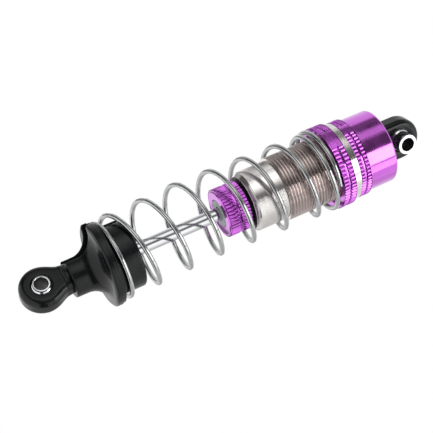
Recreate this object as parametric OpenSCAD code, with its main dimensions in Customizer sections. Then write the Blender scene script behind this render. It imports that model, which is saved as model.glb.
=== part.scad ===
// Small coil-over damper, eye to eye along Z.
// The upper pivot centre is the origin, the damper hangs down -Z, and the
// upper bolt runs along Y. Millimetres.

/* [Overall] */
// Distance between the two pivot centres
eye_to_eye = 87.4; // [82:0.2:96]
// Angle from the upper bolt axis to the lower bolt axis, clockwise from above
eye_twist = 60; // [0:1:90]
// Bore of both pivot balls
bolt_bore_d = 3.1; // [3:0.05:3.3]

/* [Upper eye] */
// Outer diameter of the upper eye
upper_eye_d = 9; // [8.6:0.1:9.4]
// Width of the upper eye along its bolt
upper_eye_w = 4.2; // [3.8:0.1:4.6]
// Diameter of the upper ball
upper_ball_d = 6.5; // [6.4:0.1:6.9]
// Diameter of the upper ball's neck
upper_stub_d = 4.6; // [4:0.1:4.6]
// Reach of the long side of the upper ball's neck
upper_stub_long = 5; // [3.6:0.1:6]
// Reach of the short side of the upper ball's neck
upper_stub_short = 3; // [2.9:0.1:4]
// Rounding of the upper eye's edges
upper_eye_edge = 1.2; // [0.4:0.1:1.4]
// Countersink round the mouth of both sockets
mouth_bevel = 0.45; // [0.1:0.05:0.6]

/* [Top cap] */
// Distance from the upper pivot centre to the cap's end face
cap_drop = 5; // [4.8:0.1:7]
// Height of the cap
cap_len = 9.6; // [9:0.1:12]
// How far the grip and the barrel's shoulder stand out of the cap
grip_step = 0.5; // [0.4:0.1:0.8]
// Wall of the cap round the barrel's neck
cap_wall = 1; // [0.7:0.1:1.3]
// Thickness of the cap's end plate
cap_plate = 1.6; // [1.2:0.1:2]
// Rounding of the cap's end
cap_edge = 0.8; // [0.3:0.1:1.2]
// Height of the cap's grip
cap_grip_h = 2.5; // [2:0.1:3.5]
// Diameter of the stem that holds the eye in the cap
stem_d = 9.5; // [9.5:0.1:10.5]
// Step that keeps the stem's foot under the cap's end plate
foot_lip = 0.9; // [0.5:0.1:1.2]
// Thickness of the stem's foot
foot_h = 1; // [0.6:0.1:1.2]
// Thickness of the rubber bladder's rim
bladder_rim = 0.8; // [0.5:0.1:1.2]
// Wall of the bladder's dome
bladder_wall = 0.5; // [0.3:0.1:0.6]

/* [Barrel] */
// Wall of the barrel round the oil
barrel_wall = 1.25; // [0.9:0.05:1.5]
// Height of the neck that the cap screws onto
neck_len = 4.4; // [3.6:0.1:4.8]
// How far the shoulder's edge stays inside the spring's outside
shoulder_inset = 0.4; // [0.1:0.05:0.6]
// Height of the barrel's shoulder
shoulder_h = 1.6; // [1.2:0.1:3]
// Length of the thread
thread_len = 15.5; // [12:0.1:17]
// Pitch of the thread
thread_pitch = 0.75; // [0.5:0.05:1]
// Depth of the thread
thread_depth = 0.35; // [0.2:0.05:0.5]
// Depth of the step from the thread to the plain part
thread_step = 0.55; // [0.4:0.05:0.8]
// Length of the plain part
plain_len = 7.7; // [6:0.1:9]
// Height of the bevel at the barrel's lower end
barrel_bevel_h = 0.9; // [0.4:0.1:1.5]
// Depth of that bevel
barrel_bevel_w = 0.7; // [0.2:0.1:0.9]
// Thickness of the floor between the oil and the seals
floor_h = 1.4; // [1:0.1:2]

/* [Seals] */
// Diameter of the seal cap
seal_cap_d = 11.1; // [10.8:0.1:12]
// Thickness of the seal cap's end plate
seal_plate = 0.85; // [0.6:0.05:1.2]
// Bevel at the seal cap's end
seal_bevel = 0.25; // [0.2:0.05:0.6]
// Gap between the seal cap and the barrel
seal_gap = 0.6; // [0.1:0.1:1]
// Length of the spigot that the seal cap screws onto
spigot_len = 4.5; // [4.2:0.1:5.4]
// Wall of that spigot
spigot_wall = 1.3; // [1:0.1:1.5]
// Thickness of the seal rings
seal_ring_h = 1.5; // [1.2:0.1:1.6]
// Height of the spacer between the seal rings
spacer_h = 0.75; // [0.5:0.05:1]
// Thickness of the washer above the seal rings
washer_h = 0.5; // [0.3:0.05:0.7]
// Thickness of the rod guide's flange
guide_flange_h = 0.8; // [0.5:0.1:1.2]
// Diameter of the rod guide's nose
guide_nose_d = 6.3; // [5.6:0.1:6.8]

/* [Collar] */
// Height of the spring collar
collar_h = 3; // [2.4:0.1:4]
// Overhang of the collar past the spring
collar_margin = 0.15; // [0.1:0.05:1]
// Thickness of the ring inside the collar
collar_ring_h = 1; // [0.8:0.05:1.1]

/* [Spring] */
// Outer diameter of the spring
spring_d = 18.8; // [17:0.1:21]
// Wire diameter
wire_d = 1.1; // [0.9:0.05:1.2]
// Turns from one wire end to the other
coil_turns = 8.35; // [6:0.05:10]
// Closed turns at the lower end
closed_low = 0.65; // [0.5:0.05:1.2]
// Closed turns at the upper end
closed_high = 1.2; // [0.5:0.05:1.5]
// Gap between the closed turns
closed_gap = 0.45; // [0.42:0.01:0.8]
// Direction of the wire's lower end, seen from above
coil_start = -31; // [-180:1:180]

/* [Lower cup] */
// Distance from the lower pivot centre up to the hub
hub_drop = 6.1; // [5.6:0.1:8]
// Diameter of the hub
hub_d = 8.8; // [7.8:0.1:9]
// Height from the hub's end to the flange
hub_len = 6.8; // [6.5:0.1:9]
// Radius of the flare from the hub to the flange
flare_r = 4.1; // [2:0.1:4.2]
// Thickness of the flange
flange_h = 1.9; // [1.2:0.1:2.6]
// Height of the step that the spring stands on
seat_step_h = 0.45; // [0.2:0.05:0.6]
// How far that step stays inside the flange's edge
seat_step_w = 0.3; // [0.1:0.05:0.5]
// Height of the drum inside the spring
drum_h = 6; // [4:0.1:6.5]
// Wall of the drum
drum_wall = 1.4; // [0.9:0.1:1.8]
// Bevel round the top of the drum
drum_bevel = 0.5; // [0.2:0.1:0.8]
// Direction of the slot, seen from above
slot_angle = -24; // [-180:1:180]
// Width of the slot
slot_w = 4.2; // [3.6:0.1:5]
// Height of the socket that takes the rod end
hub_socket_h = 4; // [3:0.1:5]

/* [Rod and piston] */
// Rod diameter
rod_d = 3; // [2.8:0.05:3.1]
// Height of the piston
piston_h = 2; // [1.5:0.1:2.4]
// Oil holes in the piston
oil_holes = 4; // [2:1:6]
// Diameter of the oil holes
oil_hole_d = 1.2; // [0.8:0.1:1.6]
// Oil below the piston, for the rod to drop further
droop_room = 6.2; // [2:0.1:8]
// Thickness of the two clips
clip_h = 0.4; // [0.3:0.05:0.6]
// Outer diameter of the clips
clip_d = 5.2; // [4.6:0.1:6]
// Opening of the clips
clip_gap = 1.8; // [1.4:0.1:2.2]
// Depth of the clip grooves in the rod
clip_groove = 0.3; // [0.2:0.05:0.4]
// Rod left above the upper clip
rod_stub = 0.4; // [0.2:0.1:1]

/* [Rod end] */
// Outer diameter of the lower eye
lower_eye_d = 9.4; // [8.8:0.1:10]
// Width of the lower eye along its bolt
lower_eye_w = 3.7; // [3.2:0.1:4.2]
// Diameter of the lower ball
lower_ball_d = 6; // [5.8:0.1:6.4]
// Diameter of the lower ball's neck
lower_stub_d = 4; // [3.7:0.1:4]
// Reach of the lower ball's neck to each side
lower_stub = 3; // [2.9:0.1:4]
// Rounding of the lower eye's edges
lower_eye_edge = 0.9; // [0.2:0.1:1.2]
// Diameter of the shank inside the hub
shank_d = 5.9; // [5.2:0.1:6]
// Length of rod screwed into the rod end
rod_grip = 6; // [4:0.1:6.5]

/* [Grips] */
// Teeth round the cap and the collar
grip_teeth = 62; // [40:1:72]
// Teeth round the seal cap
seal_teeth = 42; // [30:1:48]
// Depth of the grip teeth
tooth_h = 0.3; // [0.15:0.05:0.35]
// Height of the groove between two rows of teeth
grip_groove = 0.5; // [0.3:0.05:0.8]
// Teeth left out for the plain patch on the cap
cap_patch = 3; // [0:1:8]
// Teeth left out for the plain patch on the collar
collar_patch = 5; // [0:1:8]

/* [Clearances] */
// Radial clearance of sliding and turning fits
slide_clear = 0.05; // [0.02:0.01:0.1]
// Radial clearance of screwed and dropped-in fits
seat_clear = 0.05; // [0.02:0.01:0.1]
// Clearance round the balls in their sockets
ball_clear = 0.05; // [0.03:0.01:0.1]
// Clearance of the rod and the rod end in the slotted cup
cup_clear = 0.2; // [0.1:0.05:0.4]
// Clearance between the spring and the thread
spring_clear = 0.9; // [0.5:0.05:1]
// Clearance between the drum and the spring
drum_clear = 0.6; // [0.45:0.05:0.9]
// Gap above the collar at the top of its travel
collar_clear = 0.1; // [0.05:0.05:0.5]
// Gap under the lower clip at full droop
piston_clear = 0.2; // [0.1:0.05:0.5]

/* [Hidden] */
$fn = 96;
over = 1;               // how far a cut runs past the face it opens
rings_per_turn = 8;     // sections in one turn of the spring
wire_sides = 6;         // sides of the spring's wire
ramp_turns = 0.6;       // part of a turn in which the pitch changes
dome_gap = 0.4;         // air between the bladder and the stem's foot
cap_patch_at = 16;      // direction of the cap's plain patch
collar_patch_at = 25;   // direction of the collar's plain patch

// radii
bolt_r = bolt_bore_d / 2;
stem_r = stem_d / 2;
spring_r = spring_d / 2;
coil_r = spring_r - wire_d / 2;
thread_r = spring_r - wire_d - spring_clear;
barrel_r = thread_r - thread_step;
bore_r = barrel_r - barrel_wall;
shoulder_r = spring_r - shoulder_inset;
cap_r = shoulder_r - grip_step;
neck_r = cap_r - cap_wall - seat_clear;
rod_r = rod_d / 2;
pocket_r = rod_r + 2 * slide_clear + seal_ring_h;
spigot_r = pocket_r + spigot_wall;
seal_cap_r = seal_cap_d / 2;
guide_nose_r = guide_nose_d / 2;
collar_r = spring_r + collar_margin;
collar_bore_r = thread_r + slide_clear;
flange_r = spring_r;
step_r = flange_r - seat_step_w;
slot_r = slot_w / 2;
drum_r = spring_r - wire_d - drum_clear;
hub_r = hub_d / 2;
shank_r = shank_d / 2;

// heights, from the upper pivot down
cap_end_z = -cap_drop;
ceiling_z = cap_end_z - cap_plate;
shoulder_top_z = cap_end_z - cap_len;
shoulder_z = shoulder_top_z - shoulder_h;
thread_end_z = shoulder_z - thread_len;
barrel_end_z = thread_end_z - plain_len;
neck_top_z = shoulder_top_z + neck_len;
cap_step_z = neck_top_z + bladder_rim;
seal_top_z = barrel_end_z - seal_gap;
spigot_end_z = barrel_end_z - spigot_len;
guide_z = spigot_end_z - guide_flange_h;
seal_end_z = guide_z - seal_plate;
lower_ring_z = spigot_end_z;
spacer_z = lower_ring_z + seal_ring_h;
upper_ring_z = spacer_z + spacer_h;
washer_z = upper_ring_z + seal_ring_h;
pocket_top_z = washer_z + washer_h;
chamber_z = pocket_top_z + floor_h;
lower_clip_z = chamber_z + piston_clear + droop_room;
piston_z = lower_clip_z + clip_h;
upper_clip_z = piston_z + piston_h;
rod_top_z = upper_clip_z + clip_h + rod_stub;
collar_top_z = shoulder_z - collar_clear;
collar_z = collar_top_z - collar_h;

// heights, from the lower pivot up
lower_eye_z = -eye_to_eye;
hub_end_z = lower_eye_z + hub_drop;
shank_top_z = hub_end_z + hub_socket_h;
rod_end_z = shank_top_z - rod_grip;
flange_z = hub_end_z + hub_len;
seat_z = flange_z + flange_h;
drum_top_z = seat_z + drum_h;
drum_floor_z = seat_z + drum_wall / 2;

// Profiles: X is the radius and Y the height.

module band(r0, r1, z0, z1) {
    translate([r0, z0]) square([r1 - r0, z1 - z0]);
}

// what a rounded upper edge takes off a corner
module upper_edge_cut(r, z, e) {
    difference() {
        band(r - e, r + over, z - e, z + over);
        translate([r - e, z - e]) circle(e);
        band(r - e - over, r - e, z - e - over, z + over);
    }
}

// a disc with a bevelled lower edge, w deep and h high
module bevelled_below(r, z0, z1, w, h) {
    polygon([[0, z0], [r - w, z0], [r, z0 + h], [r, z1], [0, z1]]);
}

// a disc with a bevelled upper edge
module bevelled_above(r, z0, z1, e) {
    polygon([[0, z0], [r, z0], [r, z1 - e], [r - e, z1], [0, z1]]);
}

// Solids along Z

module tube(r0, r1, z0, z1) {
    rotate_extrude() band(r0, r1, z0, z1);
}

module drill(r, z0, z1) {
    translate([0, 0, z0]) cylinder(r = r, h = z1 - z0);
}

// one row of grip teeth, with a plain patch of some teeth round patch_at
module grip_row(r, z0, z1, teeth, patch, patch_at) {
    step = 360 / teeth;
    translate([0, 0, z0]) linear_extrude(z1 - z0) difference() {
        circle(r);
        for (i = [patch:teeth - 1])
            rotate(patch_at + (i - (patch - 1) / 2) * step)
                translate([r, 0]) rotate(45) square(tooth_h * sqrt(2), center = true);
    }
}

// two rows of grip teeth over a plain core; the plain patch has no groove
module grip(r, z0, z1, teeth, patch, patch_at) {
    row = (z1 - z0 - grip_groove) / 2;
    side = r * tan(180 * patch / teeth);
    grip_row(r, z0, z0 + row, teeth, patch, patch_at);
    grip_row(r, z1 - row, z1, teeth, patch, patch_at);
    drill(r - tooth_h - 0.1, z0, z1);
    if (patch > 0) intersection() {
        drill(r, z0 + row / 2, z1 - row / 2);
        rotate(patch_at) translate([0, 0, z0 + row / 2])
            linear_extrude(z1 - z0 - row) polygon([[0, 0], [r, -side], [r, side]]);
    }
}

// a rubber ring of round section that fills the gap between two radii
module rubber_ring(r0, r1, z0, h) {
    rotate_extrude() translate([(r0 + r1) / 2, z0 + h / 2])
        scale([(r1 - r0) / h, 1]) circle(h / 2);
}

// Eyes: the bolt runs along Y

module along_bolt() {
    rotate([-90, 0, 0]) children();
}

module eye_disc(r, w, edge) {
    along_bolt() rotate_extrude() union() {
        band(0, r - edge, -w / 2, w / 2);
        band(0, r, -w / 2 + edge, w / 2 - edge);
        for (side = [-1, 1])
            translate([r - edge, side * (w / 2 - edge)]) circle(edge);
    }
}

// round socket for a ball, open on both faces, with countersunk mouths
module socket_cut(ball_d, w) {
    socket_r = ball_d / 2 + ball_clear;
    mouth_r = sqrt(socket_r * socket_r - w * w / 4);
    sphere(socket_r);
    for (side = [0, 180])
        rotate([side, 0, 0]) along_bolt()
            translate([0, 0, w / 2 - mouth_bevel])
                cylinder(r1 = mouth_r, r2 = mouth_r + 2 * mouth_bevel, h = 2 * mouth_bevel);
}

module pivot_ball(ball_d, stub_d, reach_long, reach_short) {
    along_bolt() difference() {
        union() {
            sphere(ball_d / 2);
            drill(stub_d / 2, -reach_short, reach_long);
        }
        drill(bolt_r, -reach_short - over, reach_long + over);
    }
}

// Upper eye and cap

module upper_pivot_ball() {
    color("silver")
        pivot_ball(upper_ball_d, upper_stub_d, upper_stub_long, upper_stub_short);
}

// straight-sided shank with the same rounded edges as the eye
module eye_shank(r, w, edge, z0, z1) {
    translate([0, 0, z0]) linear_extrude(z1 - z0) union() {
        square([2 * r - 2 * edge, w], center = true);
        square([2 * r, w - 2 * edge], center = true);
        for (x = [-1, 1], y = [-1, 1])
            translate([x * (r - edge), y * (w / 2 - edge)]) circle(edge);
    }
}

module upper_eyelet() {
    color([0.12, 0.12, 0.13]) difference() {
        union() {
            eye_disc(upper_eye_d / 2, upper_eye_w, upper_eye_edge);
            eye_shank(upper_eye_d / 2, upper_eye_w, upper_eye_edge, cap_end_z, 0);
            drill(stem_r, ceiling_z, cap_end_z + 0.25);
            drill(stem_r + foot_lip, ceiling_z - foot_h, ceiling_z);
        }
        socket_cut(upper_ball_d, upper_eye_w);
    }
}

module top_cap() {
    grip_top_z = shoulder_top_z + cap_grip_h;
    color("mediumorchid") difference() {
        union() {
            rotate_extrude() difference() {
                band(0, cap_r, shoulder_top_z, cap_end_z);
                upper_edge_cut(cap_r, cap_end_z, cap_edge);
            }
            grip(shoulder_r, shoulder_top_z, grip_top_z, grip_teeth, cap_patch, cap_patch_at);
        }
        drill(neck_r + seat_clear, shoulder_top_z - over, cap_step_z);
        drill(stem_r + foot_lip + seat_clear, cap_step_z - over, ceiling_z);
        drill(stem_r + seat_clear, ceiling_z - over, cap_end_z + over);
    }
}

// rubber diaphragm clamped between the neck and the cap
module bladder() {
    dome_top_z = ceiling_z - foot_h - dome_gap;
    dome_r = stem_r + foot_lip - seat_clear;
    color([0.25, 0.25, 0.26]) rotate_extrude() difference() {
        union() {
            band(0, neck_r - seat_clear, neck_top_z, cap_step_z);
            band(0, dome_r, neck_top_z, dome_top_z);
        }
        band(-over, dome_r - bladder_wall, neck_top_z - over, dome_top_z - bladder_wall);
    }
}

// Barrel and seals

// one groove of the thread
module thread_groove(z) {
    half = thread_pitch / 3;
    polygon([[thread_r + over, z + half], [thread_r, z + half],
             [thread_r - thread_depth, z], [thread_r, z - half], [thread_r + over, z - half]]);
}

// The thread is cut as plain rings, which let the collar slide as well as turn.
module barrel() {
    color([0.78, 0.76, 0.75]) rotate_extrude() difference() {
        union() {
            band(0, neck_r, shoulder_top_z, neck_top_z);
            band(0, shoulder_r, shoulder_z, shoulder_top_z);
            bevelled_below(thread_r, thread_end_z, shoulder_z,
                           thread_step, thread_step);
            bevelled_below(barrel_r, barrel_end_z, thread_end_z,
                           barrel_bevel_w, barrel_bevel_h);
            band(0, spigot_r, spigot_end_z, barrel_end_z);
        }
        band(-over, bore_r, chamber_z, neck_top_z + over);
        band(-over, rod_r + cup_clear, pocket_top_z - over, chamber_z + over);
        band(-over, pocket_r, spigot_end_z - over, pocket_top_z);
        for (i = [1:floor((thread_len - thread_step) / thread_pitch) - 1])
            thread_groove(shoulder_z - i * thread_pitch);
    }
}

module seal_cap() {
    color("mediumorchid") difference() {
        union() {
            rotate_extrude()
                bevelled_below(seal_cap_r, seal_end_z, seal_end_z + seal_bevel,
                               seal_bevel, seal_bevel);
            grip(seal_cap_r, seal_end_z + seal_bevel, seal_top_z, seal_teeth, 0, 0);
        }
        drill(spigot_r + seat_clear, guide_z, seal_top_z + over);
        drill(guide_nose_r + seat_clear, seal_end_z - over, guide_z + over);
    }
}

// plastic bush that guides the rod and holds the seals in
module rod_guide() {
    color([0.6, 0.62, 0.62]) rotate_extrude() difference() {
        union() {
            band(0, spigot_r - seat_clear, guide_z, spigot_end_z);
            band(0, guide_nose_r, seal_end_z, guide_z);
        }
        band(-over, rod_r + slide_clear, seal_end_z - over, spigot_end_z + over);
    }
}

module seal_washer() {
    color([0.9, 0.9, 0.88])
        tube(rod_r + slide_clear, pocket_r - seat_clear, washer_z, pocket_top_z);
}

module seal_ring(z) {
    rubber_ring(rod_r + slide_clear, pocket_r - seat_clear, z, seal_ring_h);
}

module upper_seal_ring() {
    color([0.75, 0.2, 0.15]) seal_ring(upper_ring_z);
}

module seal_spacer() {
    color([0.9, 0.9, 0.88])
        tube(rod_r + slide_clear, pocket_r - seat_clear, spacer_z, upper_ring_z);
}

module lower_seal_ring() {
    color([0.75, 0.2, 0.15]) seal_ring(lower_ring_z);
}

// Collar

module adjuster_collar() {
    mid_z = (collar_z + collar_top_z) / 2;
    groove_r = collar_bore_r + collar_ring_h;
    color("mediumorchid") difference() {
        grip(collar_r, collar_z, collar_top_z, grip_teeth, collar_patch, collar_patch_at);
        drill(collar_bore_r, collar_z - over, collar_top_z + over);
        drill(groove_r, mid_z - collar_ring_h / 2, mid_z + collar_ring_h / 2);
    }
}

// rubber ring that stops the collar from turning by itself
module collar_ring() {
    mid_z = (collar_z + collar_top_z) / 2;
    color([0.15, 0.15, 0.15])
        rubber_ring(collar_bore_r, collar_bore_r + collar_ring_h,
                    mid_z - collar_ring_h / 2, collar_ring_h);
}

// Spring: the pitch is small in the closed turns, full in the middle, and
// changes evenly over ramp_turns. height_at() is the area under that pitch.

low_z = seat_z + wire_d / 2;
high_z = collar_z - wire_d / 2;
closed_pitch = wire_d + closed_gap;
full_turns = coil_turns - closed_low - closed_high - 2 * ramp_turns;
full_pitch = (high_z - low_z - closed_pitch * (closed_low + closed_high + ramp_turns))
    / (full_turns + ramp_turns);

function closed_part(n) = closed_pitch * min(n, closed_low);
function ramp_part(n) =
    let (m = min(max(n, 0), ramp_turns))
    closed_pitch * m + (full_pitch - closed_pitch) * m * m / (2 * ramp_turns);
function from_low(n) =
    closed_part(n) + ramp_part(n - closed_low)
    + full_pitch * max(n - closed_low - ramp_turns, 0);
function from_high(n) =
    closed_pitch * min(n, closed_high) + ramp_part(n - closed_high)
    + full_pitch * max(n - closed_high - ramp_turns, 0);
function height_at(n) =
    n < coil_turns / 2 ? low_z + from_low(n) : high_z - from_high(coil_turns - n);

coil_rings = round(coil_turns * rings_per_turn);
// the sections stand a little outside the mean radius, because the straight
// stretches between them run inside it
section_r = coil_r * 2 / (1 + cos(180 / rings_per_turn));

function ring_turn(i) = coil_turns * i / coil_rings;
function ring_centre(i) =
    let (n = ring_turn(i), a = coil_start + 360 * n)
    [section_r * cos(a), section_r * sin(a), height_at(n)];
function ring_point(i, k) =
    let (a = coil_start + 360 * ring_turn(i), s = 90 + 360 * k / wire_sides)
    ring_centre(i) + wire_d / 2 * [cos(s) * cos(a), cos(s) * sin(a), sin(s)];
function point_index(i, k) = i * wire_sides + k % wire_sides;

centres = [for (i = [0:coil_rings]) ring_centre(i)];
least_gap = min([for (i = [0:coil_rings], j = [i + rings_per_turn - 1:1:coil_rings])
    norm(centres[i] - centres[j])]) - wire_d;
echo(str("least gap between the spring's turns: ", least_gap, " mm"));

module spring() {
    points = [for (i = [0:coil_rings], k = [0:wire_sides - 1]) ring_point(i, k)];
    walls = [for (i = [0:coil_rings - 1], k = [0:wire_sides - 1], half = [0, 1])
        half == 0
        ? [point_index(i, k), point_index(i + 1, k), point_index(i + 1, k + 1)]
        : [point_index(i, k), point_index(i + 1, k + 1), point_index(i, k + 1)]];
    low_end = [for (k = [1:wire_sides - 2])
        [point_index(0, 0), point_index(0, k), point_index(0, k + 1)]];
    high_end = [for (k = [1:wire_sides - 2])
        [point_index(coil_rings, 0), point_index(coil_rings, k + 1),
         point_index(coil_rings, k)]];
    color([0.72, 0.73, 0.74])
        polyhedron(points, concat(walls, low_end, high_end));
}

// Lower cup

module lower_cup() {
    color([0.12, 0.12, 0.13]) difference() {
        rotate_extrude() difference() {
            union() {
                band(0, hub_r, hub_end_z, seat_z);
                band(hub_r - 0.1, hub_r + flare_r, flange_z - flare_r, flange_z);
                band(0, flange_r, flange_z, seat_z - seat_step_h);
                band(0, step_r, flange_z, seat_z);
                bevelled_above(drum_r, seat_z, drum_top_z, drum_bevel);
            }
            translate([hub_r + flare_r, flange_z - flare_r]) circle(flare_r);
            band(-over, drum_r - drum_wall, drum_floor_z, drum_top_z + over);
            band(-over, rod_r + cup_clear, hub_end_z - over, drum_top_z + over);
            band(-over, shank_r + cup_clear, hub_end_z - over, shank_top_z);
        }
        rotate(slot_angle) translate([0, -slot_r, hub_end_z - over])
            cube([flange_r + over, 2 * slot_r, drum_top_z - hub_end_z + 2 * over]);
    }
}

// Rod and piston

module clip_groove_cut(z) {
    tube(rod_r - clip_groove, rod_r + over, z, z + clip_h);
}

module shock_rod() {
    color("silver") difference() {
        drill(rod_r, rod_end_z, rod_top_z);
        clip_groove_cut(lower_clip_z);
        clip_groove_cut(upper_clip_z);
    }
}

module piston() {
    hole_at = (rod_r + bore_r) / 2;
    color([0.95, 0.95, 0.93]) difference() {
        drill(bore_r - slide_clear, piston_z, upper_clip_z);
        drill(rod_r + seat_clear, piston_z - over, upper_clip_z + over);
        for (i = [0:oil_holes - 1])
            rotate(360 * i / oil_holes) translate([hole_at, 0, 0])
                drill(oil_hole_d / 2, piston_z - over, upper_clip_z + over);
    }
}

module retaining_clip(z) {
    color([0.35, 0.36, 0.38]) difference() {
        drill(clip_d / 2, z, z + clip_h);
        drill(rod_r - clip_groove + seat_clear, z - over, z + clip_h + over);
        translate([0, -clip_gap / 2, z - over]) cube([clip_d, clip_gap, clip_h + 2 * over]);
    }
}

module upper_clip() {
    retaining_clip(upper_clip_z);
}

module lower_clip() {
    retaining_clip(lower_clip_z);
}

// Rod end: its bolt runs along Y before at_lower_eye() turns it

module at_lower_eye() {
    translate([0, 0, lower_eye_z]) rotate(-eye_twist) children();
}

// The neck tapers from the eye to the shank, as wide along the bolt as the eye.
module rod_end_neck() {
    intersection() {
        rotate_extrude() polygon([
            [0, 0],
            [(lower_eye_d - lower_eye_edge) / 2, 0],
            [shank_r, hub_drop],
            [0, hub_drop]
        ]);
        translate([-lower_eye_d, -lower_eye_w / 2, 0])
            cube([2 * lower_eye_d, lower_eye_w, hub_drop]);
    }
}

module rod_end() {
    color([0.12, 0.12, 0.13]) at_lower_eye() difference() {
        union() {
            eye_disc(lower_eye_d / 2, lower_eye_w, lower_eye_edge);
            rod_end_neck();
            drill(shank_r, hub_drop, hub_drop + hub_socket_h);
        }
        socket_cut(lower_ball_d, lower_eye_w);
        drill(rod_r + seat_clear, rod_end_z - lower_eye_z, hub_drop + hub_socket_h + over);
    }
}

module lower_pivot_ball() {
    color("silver") at_lower_eye()
        pivot_ball(lower_ball_d, lower_stub_d, lower_stub, lower_stub);
}

upper_pivot_ball();
upper_eyelet();
top_cap();
bladder();
barrel();
seal_cap();
rod_guide();
seal_washer();
upper_seal_ring();
seal_spacer();
lower_seal_ring();
adjuster_collar();
collar_ring();
spring();
lower_cup();
shock_rod();
piston();
upper_clip();
lower_clip();
rod_end();
lower_pivot_ball();
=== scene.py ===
import bpy, math
import numpy as np
from mathutils import Matrix, Vector
from mathutils.geometry import tessellate_polygon


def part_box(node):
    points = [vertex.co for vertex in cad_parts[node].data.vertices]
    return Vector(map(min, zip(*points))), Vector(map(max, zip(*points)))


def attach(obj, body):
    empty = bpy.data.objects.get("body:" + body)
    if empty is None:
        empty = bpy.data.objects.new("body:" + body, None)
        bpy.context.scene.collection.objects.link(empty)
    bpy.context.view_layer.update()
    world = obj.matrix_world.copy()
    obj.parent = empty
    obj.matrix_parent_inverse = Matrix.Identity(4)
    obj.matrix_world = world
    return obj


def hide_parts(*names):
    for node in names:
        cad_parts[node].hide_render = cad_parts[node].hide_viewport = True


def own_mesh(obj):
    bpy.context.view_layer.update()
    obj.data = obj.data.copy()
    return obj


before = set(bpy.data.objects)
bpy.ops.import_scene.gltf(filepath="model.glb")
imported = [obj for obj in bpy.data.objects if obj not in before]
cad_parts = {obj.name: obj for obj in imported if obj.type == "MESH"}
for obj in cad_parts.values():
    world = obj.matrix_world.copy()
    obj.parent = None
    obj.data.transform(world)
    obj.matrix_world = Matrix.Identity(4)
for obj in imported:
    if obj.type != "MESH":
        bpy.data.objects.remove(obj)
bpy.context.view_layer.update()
mm = 0.001
hair = 1e-6  # in millimetres, for comparing sizes
print("frame loaded:", len(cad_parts), "nodes")


def startMaterial(name, base, metallic, roughness, **sockets):
    material = bpy.data.materials.new(name)
    material.use_nodes = True
    tree = material.node_tree
    shader = tree.nodes["Principled BSDF"]
    shader.inputs["Base Color"].default_value = (*base, 1)
    shader.inputs["Metallic"].default_value = metallic
    shader.inputs["Roughness"].default_value = roughness
    for socket, value in sockets.items():
        shader.inputs[socket].default_value = value
    return material, tree, shader


def addNode(tree, kind, inputs=(), **settings):
    # inputs may be plain values or the outputs of other nodes
    node = tree.nodes.new(kind)
    for key, value in settings.items():
        setattr(node, key, value)
    for key, value in dict(inputs).items():
        if isinstance(value, bpy.types.NodeSocket):
            tree.links.new(value, node.inputs[key])
        else:
            node.inputs[key].default_value = value
    return node


def placeInMm(tree):
    # the piece's own coordinates in millimetres
    place = addNode(tree, "ShaderNodeTexCoord")
    return addNode(tree, "ShaderNodeVectorMath", {0: place.outputs["Object"], "Scale": 1 / mm},
                   operation="SCALE").outputs["Vector"]


def turnedRings(tree, place, perMm):
    # noise that only changes along the axis and the radius, as a lathe tool leaves it
    flat = addNode(tree, "ShaderNodeVectorMath", {0: place, 1: (1, 1, 0)},
                   operation="MULTIPLY").outputs["Vector"]
    radius = addNode(tree, "ShaderNodeVectorMath", {0: flat}, operation="LENGTH").outputs["Value"]
    height = addNode(tree, "ShaderNodeSeparateXYZ", {0: place}).outputs["Z"]
    along = addNode(tree, "ShaderNodeMath", {0: radius, 1: height}, operation="ADD").outputs[0]
    return addNode(tree, "ShaderNodeTexNoise", {"W": along, "Scale": perMm, "Detail": 3.0, "Roughness": 0.6},
                   noise_dimensions="1D").outputs["Fac"]


def speckle(tree, place, perMm, detail):
    return addNode(tree, "ShaderNodeTexNoise",
                   {"Vector": place, "Scale": perMm, "Detail": detail}).outputs["Fac"]


def spread(tree, factor, low, high, fromLow=0.3, fromHigh=0.7):
    # a factor stretched to a range
    return addNode(tree, "ShaderNodeMapRange",
                   {"Value": factor, "From Min": fromLow, "From Max": fromHigh,
                    "To Min": low, "To Max": high}).outputs["Result"]


def colourRange(tree, factor, *colours):
    # two colours, each with its position on the ramp
    ramp = addNode(tree, "ShaderNodeValToRGB", {"Fac": factor})
    for element, (position, colour) in zip(ramp.color_ramp.elements, colours):
        element.position = position
        element.color = (*colour, 1)
    return ramp.outputs["Color"]


def addBump(tree, shader, factor, depth):
    # depth in millimetres
    bump = addNode(tree, "ShaderNodeBump", {"Height": factor, "Distance": depth * mm, "Strength": 1.0})
    tree.links.new(bump.outputs["Normal"], shader.inputs["Normal"])


def shaded(colour, amount):
    return tuple(min(1, c * amount) for c in colour)


def turnedMetal(name, base, roughness, ringsPerMm, ringDepth, edgeTint=0.9, **sockets):
    # bright metal off the lathe: fine rings, faint handling haze
    haze = {"perMm": 0.35, "detail": 4.0, "dull": 0.3, "bright": 0.7}
    polish = {"ringShare": 0.35, "least": 0.8, "most": 1.35, "from": 0.5, "to": 0.85}
    material, tree, shader = startMaterial(name, base, 1.0, roughness, **sockets)
    place = placeInMm(tree)
    rings = turnedRings(tree, place, ringsPerMm)
    hazy = speckle(tree, place, haze["perMm"], haze["detail"])
    mixed = addNode(tree, "ShaderNodeMath", {0: rings, 1: polish["ringShare"], 2: hazy},
                    operation="MULTIPLY_ADD").outputs[0]
    tree.links.new(spread(tree, mixed, roughness * polish["least"], roughness * polish["most"],
                          polish["from"], polish["to"]), shader.inputs["Roughness"])
    tree.links.new(colourRange(tree, hazy, (haze["dull"], shaded(base, edgeTint)), (haze["bright"], base)),
                   shader.inputs["Base Color"])
    addBump(tree, shader, rings, ringDepth)
    return material


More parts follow.
